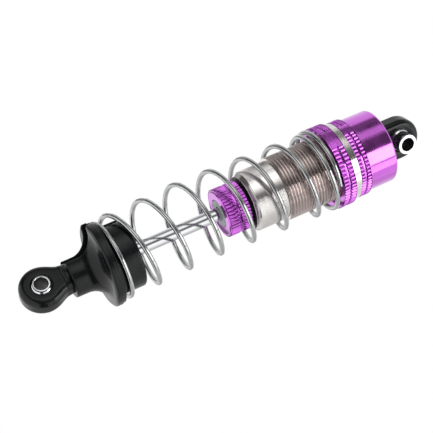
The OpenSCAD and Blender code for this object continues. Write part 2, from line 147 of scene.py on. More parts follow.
def barrelAluminium():
    # polished plain part; the thread has a warmer tint, between two heights
    look = {"plain": (0.83, 0.80, 0.78), "thread": (0.52, 0.445, 0.425), "threadLow": -31.5,
            "threadHigh": -16.2, "roughness": (0.09, 0.19), "ringsPerMm": 8.0, "ringDepth": 0.003,
            "hazePerMm": 0.5, "haze": 0.92}
    colourA, colourB, colourOut = 6, 7, 2  # where a Mix node keeps its colours
    material, tree, shader = startMaterial("barrel aluminium", look["plain"], 1.0, 0.13)
    place = placeInMm(tree)
    height = addNode(tree, "ShaderNodeSeparateXYZ", {0: place}).outputs["Z"]
    rings = turnedRings(tree, place, look["ringsPerMm"])
    hazy = speckle(tree, place, look["hazePerMm"], detail=4.0)
    above = addNode(tree, "ShaderNodeMath", {0: height, 1: look["threadLow"]}, operation="GREATER_THAN")
    below = addNode(tree, "ShaderNodeMath", {0: height, 1: look["threadHigh"]}, operation="LESS_THAN")
    inThread = addNode(tree, "ShaderNodeMath", {0: above.outputs[0], 1: below.outputs[0]},
                       operation="MULTIPLY").outputs[0]
    tint = addNode(tree, "ShaderNodeMix", {0: inThread, colourA: (*look["plain"], 1),
                                           colourB: (*look["thread"], 1)}, data_type="RGBA")
    dust = colourRange(tree, hazy, (0.3, (look["haze"],) * 3), (0.65, (1, 1, 1)))
    dusty = addNode(tree, "ShaderNodeMix", {0: 1.0, colourA: tint.outputs[colourOut], colourB: dust},
                    data_type="RGBA", blend_type="MULTIPLY")
    tree.links.new(dusty.outputs[colourOut], shader.inputs["Base Color"])
    tree.links.new(spread(tree, rings, *look["roughness"]), shader.inputs["Roughness"])
    addBump(tree, shader, rings, look["ringDepth"])
    return material


def drawnWire():
    # spring wire: fine marks run along it, laid by the wire's own map
    look = {"dark": (0.40, 0.405, 0.41), "light": (0.52, 0.525, 0.53), "stretch": (3.0, 22.0, 1.0),
            "roughness": (0.08, 0.2), "markDepth": 0.004}
    material, tree, shader = startMaterial("drawn spring wire", (0.46, 0.465, 0.47), 1.0, 0.14)
    along = addNode(tree, "ShaderNodeUVMap", uv_map="wire").outputs["UV"]
    stretched = addNode(tree, "ShaderNodeVectorMath", {0: along, 1: look["stretch"]},
                        operation="MULTIPLY").outputs[0]
    marks = speckle(tree, stretched, perMm=1.0, detail=4.0)
    tree.links.new(spread(tree, marks, *look["roughness"]), shader.inputs["Roughness"])
    tree.links.new(colourRange(tree, marks, (0.3, look["dark"]), (0.6, look["light"])),
                   shader.inputs["Base Color"])
    addBump(tree, shader, marks, look["markDepth"])
    return material


def moulded(name, base, roughness, grain, gloss=0.5):
    # moulded plastic or rubber with a fine spark-eroded grain
    look = {"grainPerMm": 9.0, "cloudPerMm": 0.4, "detail": 3.0, "smoother": 0.85, "rougher": 1.2,
            "darker": 0.85, "paler": 1.15}
    material, tree, shader = startMaterial(name, base, 0.0, roughness, **{"Specular IOR Level": gloss})
    place = placeInMm(tree)
    fine = speckle(tree, place, look["grainPerMm"], look["detail"])
    broad = speckle(tree, place, look["cloudPerMm"], look["detail"])
    tree.links.new(spread(tree, broad, roughness * look["smoother"], roughness * look["rougher"]),
                   shader.inputs["Roughness"])
    tree.links.new(colourRange(tree, broad, (0.3, shaded(base, look["darker"])),
                               (0.7, shaded(base, look["paler"]))), shader.inputs["Base Color"])
    addBump(tree, shader, fine, grain)
    return material


def turnedPlastic(name, base, roughness, ringsPerMm, ringDepth):
    material, tree, shader = startMaterial(name, base, 0.0, sum(roughness) / 2)
    rings = turnedRings(tree, placeInMm(tree), ringsPerMm)
    tree.links.new(spread(tree, rings, *roughness), shader.inputs["Roughness"])
    addBump(tree, shader, rings, ringDepth)
    return material


# the clear oxide over the dye is the coat; a finish goes by the name of its slot
clearOxide = {"Coat Weight": 0.5, "Coat Roughness": 0.09, "Coat IOR": 1.5}
finishes = {
    "polished_steel": turnedMetal("polished steel", (0.68, 0.69, 0.70), roughness=0.09, ringsPerMm=9.0,
                                  ringDepth=0.0015, edgeTint=0.94),
    "purple_anodised": turnedMetal("purple anodised", (0.64, 0.145, 0.74), roughness=0.12, ringsPerMm=7.0,
                                   ringDepth=0.003, edgeTint=0.92, **clearOxide),
    "polished_aluminium": barrelAluminium(),
    "spring_steel": drawnWire(),
    "grey_plastic": turnedPlastic("grey guide plastic", (0.62, 0.67, 0.66), roughness=(0.34, 0.5),
                                  ringsPerMm=6.0, ringDepth=0.006),
    "black_plastic": moulded("black moulded plastic", (0.0055, 0.0065, 0.0075), roughness=0.2,
                             grain=0.004, gloss=0.28),
    "white_plastic": moulded("white plastic", (0.8, 0.8, 0.77), roughness=0.4, grain=0.004),
    "grey_rubber": moulded("grey rubber", (0.05, 0.05, 0.055), roughness=0.65, grain=0.01, gloss=0.3),
    "red_rubber": moulded("red rubber", (0.5, 0.06, 0.04), roughness=0.5, grain=0.006, gloss=0.4)}
# painted shade: near-black steel for the pivot balls' bores and for faces in narrow gaps between parts,
# where shade falls
shadeSteel = turnedMetal("steel painted dark for shade", (0.07, 0.07, 0.072), roughness=0.5, ringsPerMm=4.0, ringDepth=0.004)
clipSteel = turnedMetal("clip steel", (0.60, 0.61, 0.62), roughness=0.25, ringsPerMm=5.0, ringDepth=0.003)
print("materials made")


# every point is in millimetres until newPiece makes the object
def boxOf(node):
    low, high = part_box(node)
    return np.array(low) / mm, np.array(high) / mm


def newPiece(name, points, faces, body, slot, sharp):
    # stands for the CAD node of its name; edges steeper than sharp degrees stay crisp
    mesh = bpy.data.meshes.new(name)
    mesh.from_pydata((np.asarray(points) * mm).tolist(), [], [list(f) for f in faces])
    mesh.validate()
    mesh.shade_smooth()
    mesh.set_sharp_from_angle(angle=math.radians(sharp))
    mesh.materials.append(finishes[slot])
    piece = bpy.data.objects.new(name, mesh)
    bpy.context.scene.collection.objects.link(piece)
    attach(piece, body)
    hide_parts(name)
    return piece


def shadeBetween(piece, low, high, radius, slack=0.02):
    # faces in a narrow gap between parts get the near-black steel: painted shade, where the gap lies in
    # shadow
    piece.data.materials.append(shadeSteel)
    for polygon in piece.data.polygons:
        spots = [piece.data.vertices[k].co / mm for k in polygon.vertices]
        if all(low - slack < p.z < high + slack and math.hypot(p.x, p.y) < radius for p in spots):
            polygon.material_index = len(piece.data.materials) - 1


def roundedOutline(corners, steps):
    # closed outline from (r, z) or (r, z, rounding) corners, walked with the solid on its left
    straight, share = math.radians(89), 0.49
    outline, count = [], len(corners)
    for i in range(count):
        before, here, after = (np.array(corners[(i + k) % count][:2], float) for k in (-1, 0, 1))
        radius = corners[i][2] if len(corners[i]) > 2 else 0
        toBefore, toAfter = before - here, after - here
        longBefore, longAfter = np.linalg.norm(toBefore), np.linalg.norm(toAfter)
        toBefore, toAfter = toBefore / longBefore, toAfter / longAfter
        half = math.acos(max(-1, min(1, float(toBefore @ toAfter)))) / 2
        if radius <= 0 or half > straight:
            outline.append(here)
            continue
        back = min(radius / math.tan(half), share * longBefore, share * longAfter)
        radius = back * math.tan(half)
        inward = (toBefore + toAfter) / np.linalg.norm(toBefore + toAfter)
        middle = here + inward * radius / math.sin(half)
        first, last = here + toBefore * back - middle, here + toAfter * back - middle
        turn = math.atan2(first[0] * last[1] - first[1] * last[0], float(first @ last))
        for k in range(steps + 1):
            c, s = math.cos(turn * k / steps), math.sin(turn * k / steps)
            outline.append(middle + np.array([first[0] * c - first[1] * s, first[0] * s + first[1] * c]))
    return np.array(outline)


def splitLong(outline, longest):
    # adds points on the long stretches of an outline
    found = []
    for a, b in zip(outline, np.roll(outline, -1, axis=0)):
        parts = max(1, int(np.ceil(np.linalg.norm(b - a) / longest)))
        found += [a + (b - a) * k / parts for k in range(parts)]
    return np.array(found)


def keptFlat(outline, gap=0.03, least=0.25):
    # points close to the ends of each long stretch, so that its shading stays even
    found = []
    for a, b in zip(outline, np.roll(outline, -1, axis=0)):
        length = np.linalg.norm(b - a)
        found += [a, a + (b - a) * gap / length, b - (b - a) * gap / length] if length > least else [a]
    return np.array(found)


def evenAngles(count):
    return np.arange(count) * 2 * math.pi / count


def revolve(outline, angles, radiusAt=None):
    # closed outline turned round Z; radiusAt(r, z, angle) may cut into it
    outline = keptFlat(outline)
    rows, columns = len(outline), len(angles)
    r, z = np.repeat(outline[:, :1], columns, 1), np.repeat(outline[:, 1:], columns, 1)
    a = np.repeat(angles[None, :], rows, 0)
    if radiusAt is not None:
        r = radiusAt(r, z, a)
    points = np.stack([r * np.cos(a), r * np.sin(a), z], -1).reshape(-1, 3)
    i, j = np.meshgrid(np.arange(rows), np.arange(columns), indexing="ij")
    nextI, nextJ = (i + 1) % rows, (j + 1) % columns
    faces = [i * columns + j, i * columns + nextJ, nextI * columns + nextJ, nextI * columns + j]
    return points, np.stack(faces, -1).reshape(-1, 4)


def moved(points, matrix):
    return np.asarray(points) @ np.array(matrix.to_3x3()).T + np.array(matrix.translation)


# pivot balls: one turned shape, laid on each bolt
upperBall = {"ball": 3.25, "stub": 2.3, "bore": 1.55, "short": 3.0, "long": 4.85,
             "bevel": 0.12, "mouth": 0.08}
lowerBall = {"ball": 3.0, "stub": 1.9, "bore": 1.55, "short": 2.75, "long": 2.75,
             "bevel": 0.08, "mouth": 0.05}
lowerEyeZ, boltTwist = -87.4, -60  # the lower bolt, from the upper one
alongY = Matrix.Rotation(math.radians(-90), 4, "X")  # the turned shape's Z comes to Y
atLowerEye = Matrix.Translation((0, 0, lowerEyeZ)) @ Matrix.Rotation(math.radians(boltTwist), 4, "Z")


def pivotBall(name, body, settings, matrix, rings=33, columns=96, longest=1.2):
    ball, stub, bore = settings["ball"], settings["stub"], settings["bore"]
    bevel, mouth = settings["bevel"], settings["mouth"]
    low, high, soft = -settings["short"], settings["long"], bevel * 0.3
    reach = math.atan2(math.sqrt(ball * ball - stub * stub), stub)  # where the ball meets its neck
    sphere = [(ball * math.cos(a), ball * math.sin(a)) for a in np.linspace(-reach, reach, rings)]
    outline = [(bore, low + mouth), (bore + mouth, low), (stub - bevel, low), (stub - soft, low + soft),
               (stub, low + bevel), *sphere, (stub, high - bevel), (stub - soft, high - soft),
               (stub - bevel, high), (bore + mouth, high), (bore, high - mouth)]
    points, faces = revolve(splitLong(np.array(outline), longest), evenAngles(columns))
    piece = newPiece(name, moved(points, matrix), faces, body, "polished_steel", sharp=25)
    # the bore gets the near-black steel: painted shade inside the hole
    piece.data.materials.append(shadeSteel)
    inBore = np.hypot(points[:, 0], points[:, 1])[faces].max(axis=1) < bore + hair
    piece.data.polygons.foreach_set("material_index", inBore.astype(int))


pivotBall("upper_pivot_ball", "upper_pivot", upperBall, alongY)
pivotBall("lower_pivot_ball", "lower_pivot", lowerBall, atLowerEye @ alongY)
print("pivot balls made")


# the moulded eyes are distance fields, so that every joint of the moulding is rounded
def surfaceNet(distance, low, high, step):
    # a quad mesh of the field's zero surface, one point in each cell that it crosses
    axes = [np.arange(a - step, b + 2 * step, step) for a, b in zip(low, high)]
    x, y, z = np.meshgrid(*axes, indexing="ij")
    values = distance(np.stack([x, y, z], -1))
    inside = values < 0
    shape = np.array(values.shape) - 1

    def corner(i, j, k):
        return values[i:shape[0] + i, j:shape[1] + j, k:shape[2] + k]

    total, crossings = np.zeros((*shape, 3)), np.zeros(shape)
    for axis in range(3):
        for a in (0, 1):
            for b in (0, 1):
                start = np.roll([0, a, b], axis)
                end = start + np.roll([1, 0, 0], axis)
                v0, v1 = corner(*start), corner(*end)
                crossed = (v0 < 0) != (v1 < 0)
                t = np.where(crossed, v0 / np.where(crossed, v0 - v1, 1), 0)
                total += crossed[..., None] * (start + t[..., None] * (end - start))
                crossings += crossed
    mixed = crossings > 0
    index = np.full(shape, -1)
    index[mixed] = np.arange(mixed.sum())
    where = np.argwhere(mixed)
    points = (where + total[mixed] / crossings[mixed][:, None]) * step + [axis[0] for axis in axes]
    passes, reach, leastSlope = 4, 0.01, 0.2
    for _ in range(passes):  # onto the surface
        d = distance(points)
        slope = np.stack([distance(points + e) - distance(points - e) for e in np.eye(3) * reach], -1)
        slope = slope / (2 * reach)
        points = points - slope * (d / np.maximum((slope ** 2).sum(-1), leastSlope))[:, None]
    faces = []
    for axis in range(3):
        along, across, up = (np.roll([1, 0, 0], axis + k) for k in (0, 1, 2))
        first = inside[tuple(slice(0 if on else 1, n - 1) for on, n in zip(along, inside.shape))]
        second = inside[tuple(slice(1, n if on else n - 1) for on, n in zip(along, inside.shape))]
        for flip, chosen in ((False, first & ~second), (True, ~first & second)):
            at = np.argwhere(chosen) + (1 - along)
            quad = [index[tuple((at - a * across - b * up).T)] for a, b in ((1, 1), (0, 1), (0, 0), (1, 0))]
            faces.append(np.stack(quad[::-1] if flip else quad, -1))
    return points, np.concatenate(faces)


def smoothMin(a, b, radius):
    h = np.maximum(radius - np.abs(a - b), 0) / radius
    return np.minimum(a, b) - h * h * radius / 4


def smoothMax(a, b, radius):
    return -smoothMin(-a, -b, radius)


def roundedBox2d(u, v, halfU, halfV, radius):
    # u is already a distance from the middle, or a distance to an outline with halfU 0
    a, b = u - (halfU - radius), np.abs(v) - (halfV - radius)
    return np.hypot(np.maximum(a, 0), np.maximum(b, 0)) + np.minimum(np.maximum(a, b), 0) - radius


def between(z, low, high):
    return np.maximum(low - z, z - high)


def ballSocket(p, ballRadius, halfWidth, mouthBevel, blend=0.12):
    # round socket with a countersunk mouth on both faces
    mouth = math.sqrt(ballRadius ** 2 - halfWidth ** 2)
    depth = halfWidth - np.abs(p[..., 1])
    cone = (np.hypot(p[..., 0], p[..., 2]) - (mouth + mouthBevel) + depth) * math.sqrt(0.5)
    cone = np.maximum(cone, depth - mouthBevel)
    return smoothMin(np.linalg.norm(p, axis=-1) - ballRadius, cone, blend)


def upperEye():
    eye = {"radius": 4.75, "width": 4.4, "rounding": 1.25, "socket": 3.3, "mouth": 0.45, "mouthBlend": 0.25,
           "shankEnd": -5.5, "stem": 4.75, "stemTop": -4.75, "stemEnd": -7.0, "stemBlend": 0.5,
           "foot": 5.65, "footTop": -6.6, "footEnd": -7.6, "step": 0.17, "reach": 5.7}
    half = eye["width"] / 2

    def distance(p):
        x, y, z = p[..., 0], p[..., 1], p[..., 2]
        disc = roundedBox2d(np.hypot(x, z), y, eye["radius"], half, eye["rounding"])
        shank = roundedBox2d(np.abs(x), y, eye["radius"], half, eye["rounding"])
        shank = np.maximum(shank, between(z, eye["shankEnd"], 0))
        stem = np.maximum(np.hypot(x, y) - eye["stem"], between(z, eye["stemEnd"], eye["stemTop"]))
        foot = np.maximum(np.hypot(x, y) - eye["foot"], between(z, eye["footEnd"], eye["footTop"]))
        body = np.minimum(smoothMin(np.minimum(disc, shank), stem, eye["stemBlend"]), foot)
        return smoothMax(body, -ballSocket(p, eye["socket"], half, eye["mouth"]), eye["mouthBlend"])

    low, high = (-eye["reach"], -eye["reach"], eye["footEnd"]), (eye["reach"], eye["reach"], eye["radius"])
    points, faces = surfaceNet(distance, low, high, eye["step"])
    newPiece("upper_eyelet", points, faces, "barrel", "black_plastic", sharp=50)


def rodEnd():
    eye = {"radius": 4.9, "width": 4.6, "rounding": 1.5, "socket": 3.05, "mouth": 0.4, "mouthBlend": 0.22,
           "shank": 2.95, "shankFrom": 5.2, "shankTop": 10.05, "shankBlend": 0.7,
           "webIn": 0.9, "webRunIn": 6.1, "webTop": 6.6, "webBlend": 1.2,
           "rodBore": 1.55, "boreFrom": 4.1, "step": 0.17, "reach": 5.0, "halfDepth": 3.0}
    half, webWide = eye["width"] / 2, eye["radius"] - eye["webIn"]

    def distance(p):
        x, y, z = p[..., 0], p[..., 1], p[..., 2]
        # flat web whose sides run in from the eye to the shank
        side = webWide + (eye["shank"] - webWide) * np.clip(z / eye["webRunIn"], 0, 1)
        web = np.maximum(np.abs(x) - side, between(z, 0, eye["webTop"]))
        outline = smoothMin(np.hypot(x, z) - eye["radius"], web, eye["webBlend"])
        flat = roundedBox2d(outline, y, 0, half, eye["rounding"])
        shank = np.maximum(np.hypot(x, y) - eye["shank"], between(z, eye["shankFrom"], eye["shankTop"]))
        body = np.maximum(smoothMin(flat, shank, eye["shankBlend"]), z - eye["shankTop"])
        body = smoothMax(body, -ballSocket(p, eye["socket"], half, eye["mouth"]), eye["mouthBlend"])
        bore = np.maximum(np.hypot(x, y) - eye["rodBore"], eye["boreFrom"] - z)
        return np.maximum(body, -bore)

    low = (-eye["reach"], -eye["halfDepth"], -eye["reach"])
    high = (eye["reach"], eye["halfDepth"], eye["shankTop"])
    points, faces = surfaceNet(distance, low, high, eye["step"])
    newPiece("rod_end", moved(points, atLowerEye), faces, "rod", "black_plastic", sharp=50)


upperEye()
rodEnd()
print("eyes made")


# grips: two rows of notches with a groove between, and a plain patch
gripShape = {"notch": 0.3, "groove": 0.5, "grooveDeeper": 0.08, "edge": 0.12, "perTooth": 8}


def gripAngles(settings):
    # columns from each notch's bottom over the rounded tooth
    count = settings["teeth"] * gripShape["perTooth"]
    lead = math.radians(settings["patchAt"])
    return np.sort((np.arange(count) / count * 2 * math.pi + lead) % (2 * math.pi))


def gripCorners(settings, low, high):
    # the outline's corners on the grip, from low to high
    row, end, near = (high - low - gripShape["groove"]) / 2, gripShape["edge"], 1e-3
    half = [low, low + end, low + row / 2, low + row - end, low + row - 2 * near, low + row + near]
    return [(settings["grip"], z) for z in half + [low + high - z for z in reversed(half)]]


def gripCut(settings, low, high):
    # radiusAt for revolve: cuts notches and the centre groove into a plain grip; patch is in teeth
    notch, end, radius = gripShape["notch"], gripShape["edge"], settings["grip"]
    step, patchAt = 2 * math.pi / settings["teeth"], math.radians(settings["patchAt"])
    row = (high - low - gripShape["groove"]) / 2
    lead = patchAt + (0.5 * step if settings["patch"] % 2 == 0 else 0)

    def radiusAt(r, z, a):
        offset = (a - lead + step / 2) % step - step / 2
        fromPatch = np.abs((a - patchAt + math.pi) % (2 * math.pi) - math.pi)
        depth = notch * (1 - np.sin(math.pi * np.abs(offset) / step))
        inRow = np.minimum(z - low, high - z)
        chamfer = np.maximum(end - inRow, 0)
        rowEnd = np.clip(inRow - (row - end), 0, end)
        groove = np.where(inRow > row - hair, notch + gripShape["grooveDeeper"], 0)
        toothed = np.maximum(np.maximum(depth, np.maximum(chamfer, rowEnd)), groove)
        cut = np.where(fromPatch < settings["patch"] / 2 * step - hair, chamfer, toothed)
        onGrip = (z > low - hair) & (z < high + hair) & (r > radius - hair)
        return np.where(onGrip, radius - cut, r)

    return radiusAt


def grippedPiece(name, body, settings, corners, low, high):
    outline = roundedOutline(corners, settings["edgeSteps"])
    points, faces = revolve(outline, gripAngles(settings), gripCut(settings, low, high))
    return newPiece(name, points, faces, body, "purple_anodised", sharp=28)


def topCap():
    low, high = boxOf("top_cap")
    cap = {"grip": float(high[0]), "gripHeight": 2.5, "teeth": 62, "patch": 3, "patchAt": 15,
           "radius": 8.5, "edge": 0.55, "edgeSteps": 8, "fillet": 0.06, "bore": 4.8, "boreBevel": 0.2,
           "recess": 5.7, "ceiling": -6.6, "step": -9.4, "neckBore": 7.5}
    bottom, top = float(low[2]), float(high[2])
    gripTop = bottom + cap["gripHeight"]
    corners = [(cap["neckBore"], bottom), *gripCorners(cap, bottom, gripTop),
               (cap["radius"] + cap["fillet"], gripTop), (cap["radius"], gripTop + cap["fillet"]),
               (cap["radius"], top, cap["edge"]), (cap["bore"] + cap["boreBevel"], top),
               (cap["bore"], top - cap["boreBevel"]), (cap["bore"], cap["ceiling"]),
               (cap["recess"], cap["ceiling"]), (cap["recess"], cap["step"]),
               (cap["neckBore"], cap["step"])]
    grippedPiece("top_cap", "barrel", cap, corners, bottom, gripTop)


def sealCap():
    low, high = boxOf("seal_cap")
    cap = {"grip": float(high[0]), "teeth": 42, "patch": 0, "patchAt": 0, "bevel": 0.25, "edgeSteps": 3,
           "faceIn": 0.4, "faceRounding": (0.08, 0.05), "noseBore": 3.2, "noseBevel": 0.12,
           "thread": 4.45, "guideSeat": -44.7}
    bottom, top = float(low[2]), float(high[2])
    gripLow, face = bottom + cap["bevel"], cap["grip"] - cap["faceIn"]
    outer, inner = cap["faceRounding"]
    corners = [(cap["noseBore"], bottom + cap["noseBevel"]), (cap["noseBore"] + cap["noseBevel"], bottom),
               (face - cap["bevel"], bottom, outer), (face, gripLow, inner), *gripCorners(cap, gripLow, top),
               (cap["thread"], top), (cap["thread"], cap["guideSeat"]), (cap["noseBore"], cap["guideSeat"])]
    piece = grippedPiece("seal_cap", "barrel", cap, corners, gripLow, top)
    # the cap's top face in the gap under the barrel is painted dark as shade
    shadeBetween(piece, top, top, cap["grip"] - gripShape["notch"])


def adjusterCollar():
    low, high = boxOf("adjuster_collar")
    collar = {"grip": 9.55, "teeth": 62, "patch": 5, "patchAt": 25, "bore": 7.45, "boreBevel": 0.2,
              "ringGroove": 8.45, "ringHeight": 1.0, "edgeSteps": 5}
    bottom, top = float(low[2]), float(high[2])
    bore, bevel = collar["bore"], collar["boreBevel"]
    middle, half = (bottom + top) / 2, collar["ringHeight"] / 2
    corners = [(bore + bevel, bottom), *gripCorners(collar, bottom, top), (bore + bevel, top),
               (bore, top - bevel), (bore, middle + half), (collar["ringGroove"], middle + half),
               (collar["ringGroove"], middle - half), (bore, middle - half), (bore, bottom + bevel)]
    grippedPiece("adjuster_collar", "collar", collar, corners, bottom, top)


topCap()
sealCap()
adjusterCollar()
print("caps and collar made")


def barrel():
    tube = {"neck": 7.45, "shoulder": 9.0, "thread": 7.4, "plain": 6.85, "spigot": 4.4, "bore": 5.6,
            "pocket": 3.1, "rodBore": 1.7, "neckTop": -10.2, "shoulderTop": -14.6, "shoulderEnd": -16.2,
            "threadEnd": -31.7, "plainEnd": -39.4, "spigotEnd": -43.9, "pocketTop": -39.65,
            "chamber": -38.25, "bevelHeight": 0.9, "bevelDepth": 0.7, "columns": 160,
            # the running thread, its run-in on the plain part and its relief under the shoulder
            "pitch": 0.75, "depth": 0.27, "grooveHalf": 0.25, "perTurn": 15, "runIn": 0.55, "flatRunIn": 0.2,
            "reliefHeight": 0.35, "reliefFade": 0.3, "reliefDepth": 0.8}
    outside, start, end = tube["thread"], tube["threadEnd"], tube["shoulderEnd"]
    pitch, depth, step = tube["pitch"], tube["depth"], tube["pitch"] / tube["perTurn"]
    corners = [(tube["rodBore"], tube["pocketTop"]), (tube["pocket"], tube["pocketTop"]),
               (tube["pocket"], tube["spigotEnd"], 0.1), (tube["spigot"], tube["spigotEnd"], 0.25),
               (tube["spigot"], tube["plainEnd"]),
               (tube["plain"] - tube["bevelDepth"], tube["plainEnd"], 0.12),
               (tube["plain"], tube["plainEnd"] + tube["bevelHeight"], 0.15),
               (tube["plain"], start - tube["flatRunIn"]), (tube["plain"], start),
               *[(outside, start + step * k) for k in range(1, int((end - start) / step))],
               (outside, end), (tube["shoulder"], end, 0.12), (tube["shoulder"], tube["shoulderTop"], 0.12),
               (tube["neck"], tube["shoulderTop"]), (tube["neck"], tube["neckTop"], 0.2),
               (tube["bore"], tube["neckTop"], 0.2), (tube["bore"], tube["chamber"]),
               (tube["rodBore"], tube["chamber"])]

    def radiusAt(r, z, a):
        turn = ((z - start) / pitch - a / (2 * math.pi)) % 1
        fromGroove = np.abs(turn - 0.5) * pitch / tube["grooveHalf"]
        cut = (1 + np.cos(math.pi * np.minimum(fromGroove, 1))) / 2 * depth
        runIn = np.clip((z - start) / tube["runIn"], 0, 1) * (outside - tube["plain"]) + tube["plain"]
        relief = outside - depth * tube["reliefDepth"]
        fade = np.clip((end - tube["reliefHeight"] - z) / tube["reliefFade"], 0, 1)
        threaded = np.minimum(outside - cut, runIn) * fade + relief * (1 - fade)
        onThread = (np.abs(r - outside) < hair) & (z > start) & (z <= end)
        return np.where(onThread, threaded, r)

    points, faces = revolve(roundedOutline(corners, steps=3), evenAngles(tube["columns"]), radiusAt)
    piece = newPiece("barrel", points, faces, "barrel", "polished_aluminium", sharp=40)
    # the end face and spigot in the gap above the seal cap are painted dark as shade
    shadeBetween(piece, tube["spigotEnd"], tube["plainEnd"], tube["plain"] - tube["bevelDepth"])


def rodGuide():
    bush = {"bore": 1.55, "nose": 3.15, "flange": 4.35, "noseEnd": -45.55, "seat": -44.7, "top": -43.9,
            "columns": 72}
    corners = [(bush["bore"], bush["noseEnd"], 0.18), (bush["nose"], bush["noseEnd"], 0.12),
               (bush["nose"], bush["seat"]), (bush["flange"], bush["seat"], 0.05),
               (bush["flange"], bush["top"], 0.05), (bush["bore"], bush["top"], 0.1)]
    points, faces = revolve(roundedOutline(corners, steps=3), evenAngles(bush["columns"]))
    newPiece("rod_guide", points, faces, "barrel", "grey_plastic", sharp=28)


barrel()
rodGuide()
print("barrel made")


def spring():
    coil = {"turns": 8.35, "wire": 1.1, "radius": 8.85, "seat": -72.3, "start": -31.0, "closedLow": 0.5,
            "closedHigh": 1.3, "ramp": 0.4, "closedPitch": 1.55, "ringsPerTurn": 32, "sides": 16,
            "endBevel": 0.08, "travel": 19,
            # how far the turns lean and stand off centre, by turn, towards each of two bearings
            "bearings": (148.5, 58.5),
            "lean": [(0, 0.5, 0), (0.065, 0.2, 0.2), (0.12, 0.2, 0.2), (1.2, 0.7, 0.5), (4.2, -0.1, 0.1),
                     (6.2, -0.2, 0.1), (7.4, 0.6, -0.3), (8.35, 0, 0)],
            "shift": [(0, 0.2, -0.4), (0.5, -0.3, -0.4), (1.7, -0.42, -0.32), (3.2, -0.9, -0.3),
                      (7.2, 0.2, 0.4), (8.35, -0.4, 0.1)]}
    turns, radius, wireR, sides = coil["turns"], coil["radius"], coil["wire"] / 2, coil["sides"]
    top = float(boxOf("spring")[1][2])
    lowZ, highZ = coil["seat"] + wireR, top - wireR
    closed, ramp = coil["closedPitch"], coil["ramp"]
    full = turns - coil["closedLow"] - coil["closedHigh"] - 2 * ramp
    pitch = (highZ - lowZ - closed * (coil["closedLow"] + coil["closedHigh"] + ramp)) / (full + ramp)

    def rise(n, closedTurns):
        m = np.clip(n - closedTurns, 0, ramp)
        return (closed * np.minimum(n, closedTurns) + closed * m + (pitch - closed) * m * m / (2 * ramp)
                + pitch * np.maximum(n - closedTurns - ramp, 0))

    n = np.linspace(0, turns, int(turns * coil["ringsPerTurn"]) + 1)
    fromLow, fromHigh = lowZ + rise(n, coil["closedLow"]), highZ - rise(turns - n, coil["closedHigh"])
    height = np.where(n < turns / 2, fromLow, fromHigh)
    angle = np.radians(coil["start"] + 360 * n)
    centre = np.stack([radius * np.cos(angle), radius * np.sin(angle), height], -1)
    for k, bearing in enumerate(np.radians(coil["bearings"])):
        at, *leans = zip(*coil["lean"])
        centre[:, 2] += np.interp(n, at, leans[k]) * np.cos(angle - bearing)
        at, *shifts = zip(*coil["shift"])
        centre[:, :2] += np.interp(n, at, shifts[k])[:, None] * [math.cos(bearing), math.sin(bearing)]
    out = np.stack([np.cos(angle), np.sin(angle), 0 * angle], -1)
    along = np.gradient(centre, axis=0)
    along /= np.linalg.norm(along, axis=1)[:, None]
    up = np.cross(along, out)
    up /= np.linalg.norm(up, axis=1)[:, None]
    around = (np.arange(sides) * 2 * math.pi / sides)[:, None]

    def ring(i, inset, r):
        middle = centre[i] + along[i] * inset
        return middle + r * (np.cos(around) * out[i] + np.sin(around) * up[i])

    # each end is bevelled: a smaller ring first, then the full one a little further in
    bevel, last = coil["endBevel"], len(n) - 1
    rings = [ring(0, 0, wireR - bevel), ring(0, bevel, wireR)]
    rings += [ring(i, 0, wireR) for i in range(1, last)]
    rings += [ring(last, -bevel, wireR), ring(last, 0, wireR - bevel)]
    count = len(rings)
    end = (count - 1) * sides
    faces = [(i + k, i + (k + 1) % sides, i + sides + (k + 1) % sides, i + sides + k)
             for i in range(0, end, sides) for k in range(sides)]
    faces += [tuple(range(sides))[::-1], tuple(end + k for k in range(sides))]
    piece = newPiece("spring", np.concatenate(rings), faces, "spring", "spring_steel", sharp=30)
    # the wire's own map: millimetres along it, and a share of the way round
    layer = piece.data.uv_layers.new(name="wire")
    run = 2 * math.pi * radius * turns / (count - 1)
    corner = np.empty(len(piece.data.loops), int)
    piece.data.loops.foreach_get("vertex_index", corner)
    u, v = (corner // sides) * run, (corner % sides) / sides
    for polygon in piece.data.polygons:  # the seam's last strip ends at 1 and not at 0
        loops = list(polygon.loop_indices)
        if max(v[loops]) - min(v[loops]) > 0.5 and len(loops) == 4:
            for k in loops:
                v[k] = 1.0 if v[k] < 0.5 else v[k]
    layer.data.foreach_set("uv", np.stack([u, v], -1).ravel())
    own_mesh(piece)


spring()
print("spring made")


